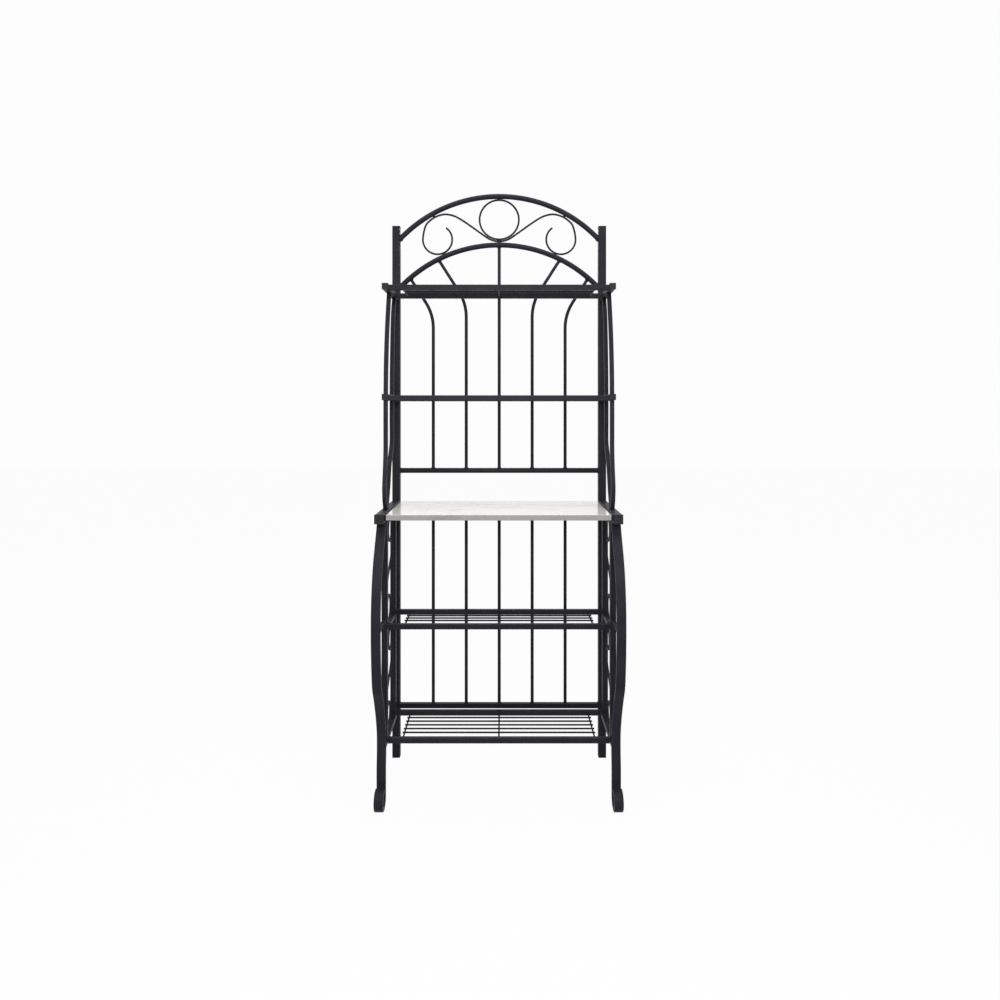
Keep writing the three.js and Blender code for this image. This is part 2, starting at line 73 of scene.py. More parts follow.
# Ends and edges of the meshes
END_CHAMFER = 0.0004
WIRE_CHAMFER = 0.0009
SCROLL_CHAMFER = 0.001
CUT_SPARE = 0.004
MERGE_DISTANCE = 0.00002
SHARP_ANGLE = math.radians(50)
EDGE_ANGLE = math.radians(35)

# The outlines' points: sides of round ones, and steps of a square one's corner
CORNER_STEPS = 3
ARCH_SIDES = 24
ROD_SIDES = 16
SCROLL_SIDES = 14
WIRE_SIDES = 12
ARCH_SPANS = 72

# The weld beads: outward and lengthwise shares of their size, and their lumps per metre
BEAD_SHARES = ((1.0, -0.45), (0.82, 0.2), (0.45, 0.62), (0.0, 1.0))
LUMP_SHARE = 0.3
BEAD_LUMPS = 320
ROD_BEAD_SIDES = 20
ARCH_BEAD_SIDES = 28
THIN_BEAD_SHARE = 0.8
SHELF_BEAD_SHARE = 0.7
WIRE_BEAD = 0.0011

# The tacks: their size as a share of the wire's, their stretch across, in depth and in height, and
# the lumps over their size. The middle ones lie over the ring, under it and on the lower arch
TACK_SHARE = 0.6
MIDDLE_TACKS = ((1.5, 1, 0.7), (2, 1, 0.8), (1.6, 1, 0.7))
SCROLL_TACK = (1.3, 1, 1)
TACK_LUMPS = 1.6

# The wire shelves: how far the long wires end inside the posts, how far the outer cross wires lie
# inside those ends, how far cross wires are sunk into the rails, and the long wires of each shelf
WIRE_INSET = 0.0305
CROSS_INSET = 0.005
CROSS_SINK = 0.001
SHELF_WIRES = (("bottom_shelf", 5), ("middle_shelf", 3), ("tier_shelf", 5), ("top_shelf", 5))


def middle_level(node):
    """The height of a node's middle, such as a wire shelf's rails."""
    low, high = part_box(node)
    return (low.z + high.z) / 2


def point_at(side, depth, height):
    """A point of a side frame, a depth ahead of the rear posts."""
    return Vector((side * SIDE_PLANE, POST_FRONT - depth, height))


def panel_point(x, height):
    """A point of the back panels' middle plane."""
    return Vector((x, PANEL_Y, height))


def square_ring(width, corner, height=None):
    """The outline of a square or flat tube with rounded corners."""
    half_u, half_v = width / 2 - corner, (height or width) / 2 - corner
    ring = []
    for quarter, (su, sv) in enumerate(((1, 1), (-1, 1), (-1, -1), (1, -1))):
        for i in range(CORNER_STEPS + 1):
            angle = math.pi / 2 * (quarter + i / CORNER_STEPS)
            ring.append((su * half_u + corner * math.cos(angle), sv * half_v + corner * math.sin(angle)))
    return ring


def round_ring(diameter, sides):
    """The outline of a round rod."""
    radius = diameter / 2
    turns = [2 * math.pi * i / sides for i in range(sides)]
    return [(radius * math.cos(turn), radius * math.sin(turn)) for turn in turns]


def smooth_path(knots, steps):
    """A smooth line through the knots, drawn as a bent tube lies."""
    knots = [Vector(k) for k in knots]
    knots = [2 * knots[0] - knots[1], *knots, 2 * knots[-1] - knots[-2]]
    line = []
    for p0, p1, p2, p3 in zip(knots, knots[1:], knots[2:], knots[3:]):
        d0, d1, d2 = ((b - a).length ** 0.5 for a, b in ((p0, p1), (p1, p2), (p2, p3)))
        out = ((p1 - p0) / d0 - (p2 - p0) / (d0 + d1) + (p2 - p1) / d1) * d1
        into = ((p2 - p1) / d1 - (p3 - p1) / (d1 + d2) + (p3 - p2) / d2) * d1
        for i in range(steps):
            t = i / steps
            line.append(p1 + out * t + (3 * (p2 - p1) - 2 * out - into) * t ** 2
                        + (2 * (p1 - p2) + out + into) * t ** 3)
    line.append(knots[-2])
    return line


def join_rows(mesh, rows, closed=False):
    """Makes the faces between rings of points, and shuts the ends of a row that doesn't close on itself."""
    pairs = list(zip(rows, rows[1:]))
    if closed:
        pairs.append((rows[-1], rows[0]))
    size = len(rows[0])
    for low, high in pairs:
        for i in range(size):
            j = (i + 1) % size
            mesh.faces.new((low[i], low[j], high[j], high[i]))
    if not closed:
        mesh.faces.new(rows[0][::-1])
        mesh.faces.new(rows[-1])


def add_tube(mesh, path, ring, across, chamfer=END_CHAMFER, closed=False):
    """Sweeps an outline along a path that lies square to the vector across."""
    count = len(path)
    stations = []
    for i, place in enumerate(path):
        after = path[(i + 1) % count] if closed else path[min(i + 1, count - 1)]
        before = path[i - 1] if closed else path[max(i - 1, 0)]
        stations.append((place, (after - before).normalized(), 1))
    if not closed:
        inset = 1 - chamfer / max(abs(u) for u, _ in ring)
        (start, start_way, _), (end, end_way, _) = stations[0], stations[-1]
        stations[0] = (start + start_way * chamfer, start_way, 1)
        stations[-1] = (end - end_way * chamfer, end_way, 1)
        stations.insert(0, (start, start_way, inset))
        stations.append((end, end_way, inset))
    rows = []
    for place, along, scale in stations:
        rise = along.cross(across).normalized()
        rows.append([mesh.verts.new(place + across * u * scale + rise * v * scale) for u, v in ring])
    join_rows(mesh, rows, closed)


def cut_flat(mesh, place, outward):
    """Cuts off what lies beyond a plane and closes the cut."""
    geometry = mesh.verts[:] + mesh.edges[:] + mesh.faces[:]
    cut = bmesh.ops.bisect_plane(mesh, geom=geometry, plane_co=place, plane_no=outward, clear_outer=True)
    edges = [e for e in cut["geom_cut"] if isinstance(e, bmesh.types.BMEdge)]
    bmesh.ops.edgeloop_fill(mesh, edges=edges)


def cut_level(mesh, low, high):
    """Cuts a mesh off level below and above two corners of a box."""
    cut_flat(mesh, Vector((0, 0, high.z)), UP)
    cut_flat(mesh, Vector((0, 0, low.z)), -UP)


def add_bead(mesh, place, along, ring, bead, across, seed=0):
    """A lumpy fillet of weld round the foot of a tube that stands on another piece."""
    rise = along.cross(across).normalized()
    rows = []
    for out, lift in BEAD_SHARES:
        row = []
        for u, v in ring:
            foot = across * u + rise * v
            lump = 1 + LUMP_SHARE * noise.noise((place + foot) * BEAD_LUMPS + Vector((seed, out, 0)))
            spread = foot.normalized() * bead * out * lump
            row.append(mesh.verts.new(place + foot + spread + along * bead * lift * lump))
        rows.append(row)
    join_rows(mesh, rows)


def add_tack(mesh, place, size, shape, seed):
    """A small lump of weld where two wires or tubes touch."""
    reach = [size * share for share in shape]
    ball = bmesh.ops.create_icosphere(mesh, subdivisions=3, radius=1)
    for vert in ball["verts"]:
        lump = 1 + LUMP_SHARE * noise.noise(vert.co * TACK_LUMPS + Vector((seed, 0, 0)))
        vert.co = place + Vector([c * r * lump for c, r in zip(vert.co, reach)])


def coated_piece(name, mesh, node=None, square=False):
    """Turns a mesh into a coated piece of the rack, in place of its node if it has one."""
    bmesh.ops.recalc_face_normals(mesh, faces=mesh.faces[:])
    data = bpy.data.meshes.new(name)
    mesh.to_mesh(data)
    mesh.free()
    data.shade_smooth()
    data.set_sharp_from_angle(angle=SHARP_ANGLE)
    piece = bpy.data.objects.new(name, data)
    bpy.context.scene.collection.objects.link(piece)
    piece.data.materials.append(material_for(COAT))
    if square:
        even_normals(piece)
    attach(piece, "root")
    if node:
        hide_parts(node)


def tube_piece(name, node, path, ring, across, chamfer=END_CHAMFER, closed=False):
    """A coated piece of one tube or wire, in place of its node."""
    mesh = bmesh.new()
    add_tube(mesh, path, ring, across, chamfer, closed)
    coated_piece(name, mesh, node)


def even_normals(piece):
    """Keeps flat faces flat beside rounded corners."""
    even = piece.modifiers.new("Even normals", "WEIGHTED_NORMAL")
    even.mode = "FACE_AREA"
    even.weight = 100
    even.keep_sharp = True


def round_edges(node, finish, width, segments=3):
    """Gives a straight piece of the frame its rounded edges and its finish."""
    piece = NODES[node]
    weld = piece.modifiers.new("Joined corners", "WELD")
    weld.merge_threshold = MERGE_DISTANCE
    edges = piece.modifiers.new("Rounded edges", "BEVEL")
    edges.width = width
    edges.segments = segments
    edges.limit_method = "ANGLE"
    edges.angle_limit = EDGE_ANGLE
    even_normals(piece)
    piece.data.materials.clear()
    piece.data.materials.append(material_for(finish))


# Finishes. A noise's scale is in lumps per metre, and a bump's distance is in metres

def new_finish(name):
    """A new material with its nodes, its shader and the places on the piece."""
    material = bpy.data.materials.new(f"{name}_finish")
    material.use_nodes = True
    tree = material.node_tree
    places = tree.nodes.new("ShaderNodeTexCoord").outputs["Object"]
    return material, tree, tree.nodes["Principled BSDF"], places


def feed(tree, entry, value):
    """Links a socket to another one, or sets its number."""
    if isinstance(value, bpy.types.NodeSocket):
        tree.links.new(value, entry)
    else:
        entry.default_value = value


def add_noise(tree, places, scale, detail, roughness=0.5, distortion=0.0):
    texture = tree.nodes.new("ShaderNodeTexNoise")
    texture.inputs["Scale"].default_value = scale
    texture.inputs["Detail"].default_value = detail
    texture.inputs["Roughness"].default_value = roughness
    texture.inputs["Distortion"].default_value = distortion
    tree.links.new(places, texture.inputs["Vector"])
    return texture.outputs["Fac"]


def add_range(tree, value, low, high, new_low=0, new_high=1):
    """Stretches the values from low to high over a new range."""
    scale = tree.nodes.new("ShaderNodeMapRange")
    for socket, number in zip(("From Min", "From Max", "To Min", "To Max"), (low, high, new_low, new_high)):
        scale.inputs[socket].default_value = number
    tree.links.new(value, scale.inputs["Value"])
    return scale.outputs["Result"]


def add_math(tree, operation, *values):
    step = tree.nodes.new("ShaderNodeMath")
    step.operation = operation
    for entry, value in zip(step.inputs, values):
        feed(tree, entry, value)
    return step.outputs[0]


def add_mix(tree, factor, first, second):
    """Mixes two colours, each a socket or three numbers."""
    mix = tree.nodes.new("ShaderNodeMix")
    mix.data_type = "RGBA"
    tree.links.new(factor, mix.inputs["Factor"])
    for socket, colour in (("A", first), ("B", second)):
        entry = next(s for s in mix.inputs if s.identifier == socket + "_Color")
        feed(tree, entry, colour if isinstance(colour, bpy.types.NodeSocket) else (*colour, 1))
    return next(s for s in mix.outputs if s.identifier == "Result_Color")


def add_bump(tree, heights, strength, distance, normal=None):
    bump = tree.nodes.new("ShaderNodeBump")
    bump.inputs["Strength"].default_value = strength
    bump.inputs["Distance"].default_value = distance
    tree.links.new(heights, bump.inputs["Height"])
    if normal:
        tree.links.new(normal, bump.inputs["Normal"])
    return bump.outputs["Normal"]


def shade(colour, amount):
    """A lighter or darker shade of a colour."""
    return [min(1.0, c * amount) for c in colour]


def make_powder_coat():
    """Satin powder coat: a violet-tinged near-black with a fine orange-peel surface."""
    look = bpy.context.scene.rack_finish
    material, tree, shader, places = new_finish(COAT)
    cloud = add_noise(tree, places, scale=16, detail=4)
    fleck = add_noise(tree, places, scale=1500, detail=1)
    peel = add_noise(tree, places, scale=420, detail=2, roughness=0.6)
    cloudy, flecked = shade(look.coat_colour, 1.28), shade(look.coat_colour, 1.4)
    tone = add_mix(tree, add_range(tree, cloud, 0.35, 0.68), look.coat_colour, cloudy)
    tone = add_mix(tree, add_range(tree, fleck, 0.6, 0.78, 0, 0.5), tone, flecked)
    tree.links.new(tone, shader.inputs["Base Color"])
    satin = look.coat_roughness
    tree.links.new(add_range(tree, peel, 0.3, 0.7, satin - 0.06, satin + 0.07), shader.inputs["Roughness"])
    surface = add_bump(tree, peel, strength=0.06, distance=0.00012)
    surface = add_bump(tree, fleck, strength=0.03, distance=0.00005, normal=surface)
    tree.links.new(surface, shader.inputs["Normal"])
    shader.inputs["Specular IOR Level"].default_value = 0.06
    return material


def make_black_plastic():
    """Moulded plastic: an even grain, duller than the coat."""
    look = bpy.context.scene.rack_finish
    material, tree, shader, places = new_finish(PLASTIC)
    grain = add_noise(tree, places, scale=2200, detail=2, roughness=0.7)
    cloud = add_noise(tree, places, scale=90, detail=3)
    cloudy = shade(look.plastic_colour, 1.35)
    tone = add_mix(tree, add_range(tree, cloud, 0.35, 0.7), look.plastic_colour, cloudy)
    tree.links.new(tone, shader.inputs["Base Color"])
    tree.links.new(add_range(tree, grain, 0.3, 0.7, 0.5, 0.68), shader.inputs["Roughness"])
    tree.links.new(add_bump(tree, grain, strength=0.3, distance=0.00008), shader.inputs["Normal"])
    shader.inputs["Specular IOR Level"].default_value = 0.2
    return material


def make_pale_stone():
    """Polished stone: off-white, softly clouded, with faint drifting veins, and dull sawn edges whose dark
    colour is partly the sawn stone's own and partly painted shade on the sides and underside.
    """
    look = bpy.context.scene.rack_finish
    material, tree, shader, places = new_finish(STONE)
    block = tree.nodes.new("ShaderNodeMapping")
    block.inputs["Rotation"].default_value = (0.3, 0.2, 0.6)
    block.inputs["Scale"].default_value = (1.0, 1.7, 1.0)
    tree.links.new(places, block.inputs["Vector"])
    places = block.outputs["Vector"]
    cloud = add_noise(tree, places, scale=5, detail=5, roughness=0.55, distortion=0.6)
    tone = add_mix(tree, add_range(tree, cloud, 0.38, 0.72), look.stone_colour, look.stone_shade)
    tone = add_veins(tree, places, tone, scale=3.1, width=0.02, weight=0.85, detail=6)
    tone = add_veins(tree, places, tone, scale=7.5, width=0.014, weight=0.45, detail=5)
    # The sides and underside are painted darker: partly the sawn stone's own duller tone, partly painted
    # shade from the light falling from above.
    edge = sawn_and_shaded_sides(tree)
    mottle = add_range(tree, add_noise(tree, places, scale=24, detail=4), 0.3, 0.7)
    sawn_and_shaded = add_mix(tree, mottle, look.stone_edge_and_shade, shade(look.stone_edge_and_shade, 0.9))
    tone = add_mix(tree, add_math(tree, "MULTIPLY", edge, 0.85), tone, sawn_and_shaded)
    tree.links.new(tone, shader.inputs["Base Color"])
    polish = add_range(tree, cloud, 0.3, 0.7, 0.08, 0.16)
    tree.links.new(add_math(tree, "MULTIPLY_ADD", edge, 0.3, polish), shader.inputs["Roughness"])
    swell = add_noise(tree, places, scale=60, detail=3)
    tree.links.new(add_bump(tree, swell, strength=0.04, distance=0.0001), shader.inputs["Normal"])
    return material


def add_veins(tree, places, tone, scale, width, weight, detail):
    """Dark lines where a drifting noise passes its middle, broken up by a finer noise."""
    drift = add_noise(tree, places, scale, detail, roughness=0.55, distortion=1.6)
    away = add_math(tree, "ABSOLUTE", add_math(tree, "SUBTRACT", drift, 0.5))
    vein = add_range(tree, away, 0, width, weight, 0)
    breaks = add_range(tree, add_noise(tree, places, scale=2.3 * scale, detail=2), 0.42, 0.62)
    colour = bpy.context.scene.rack_finish.vein_colour
    return add_mix(tree, add_math(tree, "MULTIPLY", vein, breaks), tone, colour)


def sawn_and_shaded_sides(tree):
    """One where the stone faces sideways or down, and zero on its polished top: the mask for the sawn
    edges' duller finish and their painted shade.
    """
    facing = tree.nodes.new("ShaderNodeSeparateXYZ")
    tree.links.new(tree.nodes.new("ShaderNodeTexCoord").outputs["Normal"], facing.inputs[0])
    return add_range(tree, facing.outputs["Z"], 0.35, 0.85, 1, 0)


FINISHES = {COAT: make_powder_coat, PLASTIC: make_black_plastic, STONE: make_pale_stone}


def material_for(finish):
    return bpy.data.materials.get(f"{finish}_finish") or FINISHES[finish]()


# Routes of the bent pieces. Each pair is a share of the reach forward and a share of the height

LEG_BOW = [(0.7005, 1.04), (0.771, 0.972), (0.922, 0.852), (0.986, 0.745), (1, 0.652), (0.986, 0.54),
           (0.945, 0.447), (0.887, 0.402), (0.833, 0.357), (0.787, 0.312), (0.747, 0.25),
           (0.744, 0.195), (0.758, 0.13)]
UPPER_BAR = [(0.62, 1.05), (0.72, 0.86), (0.84, 0.56), (0.915, 0.24), (0.938, -0.05)]
LOWER_OUTER = [(0.943, 1.04), (0.943, 0.75), (0.945, 0.53), (0.99, 0.36), (1.045, 0.2), (1.01, 0.07),
               (0.9, -0.04)]
INNER_RISE = (1.04, 0.8, 0.6)
INNER_FOOT = [(0.5, 0.5), (0.64, 0.376), (0.7, 0.26), (0.77, 0.148), (0.86, 0.04), (0.93, -0.04)]

# A share of the lean to the rear, and a share of the height
INNER_LEAN = [(1.3, 1.05), (0.66, 0.86), (0.3, 0.56), (0.08, 0.24), (0, -0.05)]

# The foot's curl
FOOT_TURN = 1.5 * math.pi
FOOT_KNOTS = 10

# The side scrolls: the curl's radius as a share of the bay, its inner end's as a share of that, how
# soon it reaches the full radius, its turn, and the steps of the curl and of the sweep
SIDE_CURL_SHARE = 0.155
INNER_CURL_SHARE = 0.42
CURL_GROWTH = 1.5
SIDE_CURL_TURN = math.radians(315)
SIDE_CURL_STEPS = 40
SWEEP_STEPS = 48

# The arch scroll: where its curls and crowns lie, as shares of the reach to the post and of the
# arches' offset, and how far the wire follows the ring
ARCH_CURL_SHARE = 0.624
ARCH_CURL_START = math.radians(126)
ARCH_CURL_TURN = math.radians(234)
ARCH_CURL_KNOTS = 12
SCROLL_CROWN = [(0.742, 0.403), (0.7, 0.503), (0.637, 0.585), (0.55, 0.632), (0.456, 0.597),
                (0.37, 0.503)]
WRAP_ANGLE = math.radians(35.2)
WRAP_KNOTS = 5

# The rods of each back panel, and the steps of a bend
ROD_COUNT = 5
ROD_BEND_STEPS = 12


def leg_path(side, sizes):
    """The leg's middle line: the bow, then the foot's curl round to its plug."""
    leg_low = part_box("front_leg_right")[0]
    counter_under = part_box("counter_side_rail_right")[0].z
    plug_low, plug_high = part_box("front_leg_plug_right")
    thickness = plug_high.z - plug_low.z
    bow_reach = POST_FRONT - leg_low.y - thickness / 2
    curl = sizes.foot_curl
    middle = POST_FRONT - plug_low.y + JOINT_GAP
    height = (plug_low.z + plug_high.z) / 2 - curl
    knots = [point_at(side, u * bow_reach, v * counter_under) for u, v in LEG_BOW]
    for i in range(FOOT_KNOTS):
        angle = FOOT_TURN * i / (FOOT_KNOTS - 1)
        knots.append(point_at(side, middle - curl * math.cos(angle), height - curl * math.sin(angle)))
    return smooth_path(knots, sizes.curve_steps)


def bar_path(side, shares, low, high, sizes):
    """A side bar's middle line between two heights."""
    reach = POST_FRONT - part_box("tier_side_rail_right")[0].y
    knots = [point_at(side, u * reach, low + v * (high - low)) for u, v in shares]
    return smooth_path(knots, sizes.curve_steps)


def side_scroll_path(side, low, high, sizes):
    """An S of wire in a side frame's bay: a curl, a long sweep, and the same curl turned half round."""
    edge = JOINT_GAP + sizes.scroll_wire / 2
    rear = sizes.rear_upright + sizes.upright / 2 + edge
    front = POST_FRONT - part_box("front_post_right")[1].y - edge
    bottom, top = low + edge, high - edge
    radius = SIDE_CURL_SHARE * (high - low)
    half = []
    for i in range(SIDE_CURL_STEPS):
        part = i / SIDE_CURL_STEPS
        angle = math.pi - SIDE_CURL_TURN * (1 - part)
        size = radius * min(1, INNER_CURL_SHARE + (1 - INNER_CURL_SHARE) * part * CURL_GROWTH)
        half.append((rear + radius + size * math.cos(angle), top - radius + size * math.sin(angle)))
    fall = (top - bottom - 2 * radius) / 2
    ends = ((rear, top - radius), (rear, top - radius - fall),
            (front, bottom + radius + fall), (front, bottom + radius))
    for i in range(SWEEP_STEPS // 2 + 1):
        t = i / SWEEP_STEPS
        mix = ((1 - t) ** 3, 3 * t * (1 - t) ** 2, 3 * t * t * (1 - t), t ** 3)
        half.append(tuple(sum(m * e[k] for m, e in zip(mix, ends)) for k in (0, 1)))
    whole = half + [(rear + front - d, bottom + top - h) for d, h in half[-2::-1]]
    return [point_at(side, d, h) for d, h in whole]


class Arch:
    """A round tube bent to a plain arc between the rear posts."""

    def __init__(self, node):
        sizes = bpy.context.scene.rack_sizes
        self.tube = sizes.arch_tube
        self.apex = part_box(node)[1].z - self.tube / 2
        self.radius = (POST_INNER ** 2 + sizes.arch_rise ** 2) / (2 * sizes.arch_rise)
        self.centre = self.apex - self.radius

    def height(self, x):
        return self.centre + math.sqrt(self.radius ** 2 - x ** 2)

    def path(self, reach):
        angle = math.asin(reach / self.radius)
        turns = [angle * (2 * i / ARCH_SPANS - 1) for i in range(ARCH_SPANS + 1)]
        return [panel_point(self.radius * math.sin(turn), self.centre + self.radius * math.cos(turn))
                for turn in turns]


def rod_places():
    """The rods' places across the rack, spread evenly between the posts."""
    return [(i - ROD_COUNT // 2) * 2 * POST_INNER / (ROD_COUNT + 1) for i in range(ROD_COUNT)]


def upper_rod_path(index, sizes):
    """A rod of the upper panel: straight up, then leaning outward into the lower arch."""
    arch = Arch("lower_arch")
    order = index - ROD_COUNT // 2
    x = rod_places()[index]
    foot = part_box(f"upper_back_rod_{index + 1}")[0].z
    if order == 0:
        return [panel_point(x, foot), panel_point(x, arch.apex)]
    side = math.copysign(1, order)
    bend = arch.apex - (sizes.outer_bend_drop if abs(order) > 1 else sizes.inner_bend_drop)
    lean = Vector((side * math.sin(sizes.rod_tilt), 0, math.cos(sizes.rod_tilt)))
    start = panel_point(x, bend)
    offset = start - panel_point(0, arch.centre)
    along = offset.dot(lean)
    length = -along + math.sqrt(along ** 2 - offset.length_squared + arch.radius ** 2)
    run = sizes.rod_bend
    line = [panel_point(x, foot)]
    for i in range(ROD_BEND_STEPS + 1):
        t = i / ROD_BEND_STEPS
        line.append(start + UP * -run * (1 - t) ** 2 + lean * run * t ** 2)
    line.append(start + lean * length)
    return line


def arch_scroll_path(sizes):
    """The wire under the ring: a curl on each side, a crown, and a dip round the ring."""
    lower = Arch("lower_arch")
    ring_low, ring_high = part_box("arch_ring")
    wire = sizes.scroll_wire
    curl = sizes.arch_curl
    reach = lower.radius + lower.tube / 2 + JOINT_GAP + wire / 2 + curl
    centre_x = ARCH_CURL_SHARE * POST_INNER
    centre_z = lower.centre + math.sqrt(reach ** 2 - centre_x ** 2)
    offset = Arch("upper_arch").apex - lower.apex
    knots = []
    for i in range(ARCH_CURL_KNOTS):
        angle = ARCH_CURL_START + ARCH_CURL_TURN * i / (ARCH_CURL_KNOTS - 1)
        knots.append((centre_x + curl * math.cos(angle), centre_z + curl * math.sin(angle)))
    knots += [(x * POST_INNER, lower.apex + rise * offset) for x, rise in SCROLL_CROWN]
    wrap = (ring_high.z - ring_low.z) / 2 + 1.5 * JOINT_GAP + wire / 2
    middle = middle_level("arch_ring")
    for i in range(WRAP_KNOTS):
        angle = WRAP_ANGLE * (1 - i / (WRAP_KNOTS - 1))
        knots.append((wrap * math.sin(angle), middle - wrap * math.cos(angle)))
    knots += [(-x, z) for x, z in knots[-2::-1]]
    return smooth_path([panel_point(x, z) for x, z in knots], sizes.curve_steps)


# Settings that a user would change

def size_setting(name, description, default):
    return FloatProperty(name=name, description=description, default=default, unit="LENGTH")


def colour_setting(name, description, default):
    return FloatVectorProperty(
        name=name, description=description, default=default, subtype="COLOR", min=0, max=1)


class RackSizes(bpy.types.PropertyGroup):
    tube_corner: size_setting("Tube Corner", "Corner radius of the large square tubes", 0.0022)
    bar_corner: size_setting("Bar Corner", "Corner radius of the small square bars", 0.0014)
    cap_edge: size_setting("Cap Edge", "Width of the rounded edges of caps, plugs and glides", 0.0012)
    slab_edge: size_setting("Slab Edge", "Width of the counter slab's eased edges", 0.0012)
    arch_tube: size_setting("Arch Tube", "Diameter of the arches", 0.016)
    arch_rise: size_setting("Arch Rise", "Rise of the arches between the posts", 0.133)
    panel_rod: size_setting("Panel Rod", "Diameter of the back rods", 0.01)
    rod_tilt: FloatProperty(
        name="Rod Tilt", description="Lean of the bent rods",
        default=math.radians(32.5), subtype="ANGLE")
    rod_bend: size_setting("Rod Bend", "Length of each bend on either side of its corner", 0.045)
    outer_bend_drop: size_setting("Outer Bend Drop", "Outer rods' bend below the lower arch's top", 0.2175)
    inner_bend_drop: size_setting("Inner Bend Drop", "Inner rods' bend below the lower arch's top", 0.1825)
    scroll_wire: size_setting("Scroll Wire", "Diameter of the ring's and scrolls' wire", 0.006)
    arch_curl: size_setting("Arch Curl", "Radius of the arch scroll's curls", 0.046)
    shelf_rail: size_setting("Shelf Rail", "Width of the shelf rails", 0.015)
    shelf_wire: size_setting("Shelf Wire", "Diameter of the shelf wires", 0.005)
    wire_pitch: size_setting("Wire Pitch", "Distance between shelf wires", 0.0254)
    foot_curl: size_setting("Foot Curl", "Radius of the foot's middle line", 0.0234)
    upright: size_setting("Upright", "Width of the uprights under the counter", 0.017)
    rear_upright: size_setting("Rear Upright", "Depth of the rear uprights' middles", 0.0545)
    middle_rail: size_setting("Middle Rail", "Width of the middle side rails", 0.013)
    inner_bar: size_setting("Inner Bar", "Depth of the inner side bars at the tier", 0.085)
    inner_lean: size_setting("Inner Lean", "How far the upper inner bars lean to the rear", 0.045)
    weld_bead: size_setting("Weld Bead", "Size of the weld at a joint", 0.0022)
    curve_steps: IntProperty(
        name="Curve Steps", description="Steps between two knots of a bend", default=8, min=2)


class RackFinish(bpy.types.PropertyGroup):
    coat_colour: colour_setting("Coat", "Colour of the powder coat", (0.0175, 0.0164, 0.0226))
    coat_roughness: FloatProperty(
        name="Coat Roughness", description="Satin of the powder coat", default=0.42,
        min=0.1, max=0.9, subtype="FACTOR")
    plastic_colour: colour_setting("Plastic", "Colour of the caps and plugs", (0.009, 0.009, 0.0104))
    stone_colour: colour_setting("Stone", "Main colour of the counter", (0.785, 0.736, 0.71))
    stone_shade: colour_setting("Stone Shade", "Cloudy parts of the counter", (0.69, 0.645, 0.62))
    # The sawn edges' colour holds painted shade as well as the stone's own duller tone.
    stone_edge_and_shade: colour_setting("Stone Edge", "Shade of the counter's sawn edges", (0.21, 0.196, 0.19))
    vein_colour: colour_setting("Veins", "Colour of the counter's veins", (0.42, 0.38, 0.35))


class RackView(bpy.types.PropertyGroup):
    lens: FloatProperty(
        name="Lens", description="Focal length in millimetres", default=25.92)
    distance: size_setting("Distance", "Camera's distance ahead of the rear posts' fronts", 2.25)
    height: size_setting("Height", "Camera's height", 1.081)
    sideways: size_setting("Sideways", "Camera's place across the rack", 0.01)
    shift: FloatProperty(
        name="Shift", description="Vertical shift of the view", default=-0.088)
    shift_across: FloatProperty(
        name="Shift Across", description="Horizontal shift of the view", default=-0.0024)
    top_light: FloatProperty(
        name="Top Light", description="Power of the lamp overhead, in watts", default=76)
    front_light: FloatProperty(
        name="Front Light", description="Power of the lamp in front, in watts", default=32)
    rear_light: FloatProperty(
        name="Rear Light", description="Power of the lamp behind, in watts", default=16)
    ambience: FloatProperty(
        name="Ambience", description="Strength of the light from all round", default=0.14)
    floor_white: FloatProperty(
        name="Floor White", description="Share of the floor that shows plain white",
        default=0.965, min=0, max=1)
    backdrop: FloatProperty(
        name="Backdrop", description="Brightness of the backdrop, where 1 is white",
        default=0.98, min=0, max=1)


# The rack's pieces

class RACK_OT_front_legs(bpy.types.Operator):
    """Build the bowed front legs with their curled feet"""
    bl_idname = "rack.front_legs"
    bl_label = "Front Legs"

    def execute(self, context):
        sizes = context.scene.rack_sizes
        low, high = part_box("front_leg_right")
        plug_low, plug_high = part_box("front_leg_plug_right")
        ring = square_ring(high.x - low.x, sizes.tube_corner, plug_high.z - plug_low.z)
        for name, side in SIDES:
            mesh = bmesh.new()
            add_tube(mesh, leg_path(side, sizes), ring, ACROSS)
            cut_level(mesh, Vector(), high)
            coated_piece(f"bowed_leg_{name}", mesh, f"front_leg_{name}", square=True)
        return {"FINISHED"}


class RACK_OT_straight_tubes(bpy.types.Operator):
    """Round the edges of the straight square tubes and coat them"""
    bl_idname = "rack.straight_tubes"
    bl_label = "Straight Tubes"

    def execute(self, context):
        sizes = context.scene.rack_sizes
        large = ["rear_post", "counter_side_rail"]
        small = ["front_post", "bottom_side_rail", "middle_side_rail", "tier_side_rail", "top_side_rail"]
        for name, _ in SIDES:
            for node in large:
                round_edges(f"{node}_{name}", COAT, sizes.tube_corner)
            for node in small:
                round_edges(f"{node}_{name}", COAT, sizes.bar_corner)
        for node in ("lower_panel_top_bar", "lower_panel_bottom_bar"):
            round_edges(node, COAT, sizes.bar_corner)
        return {"FINISHED"}


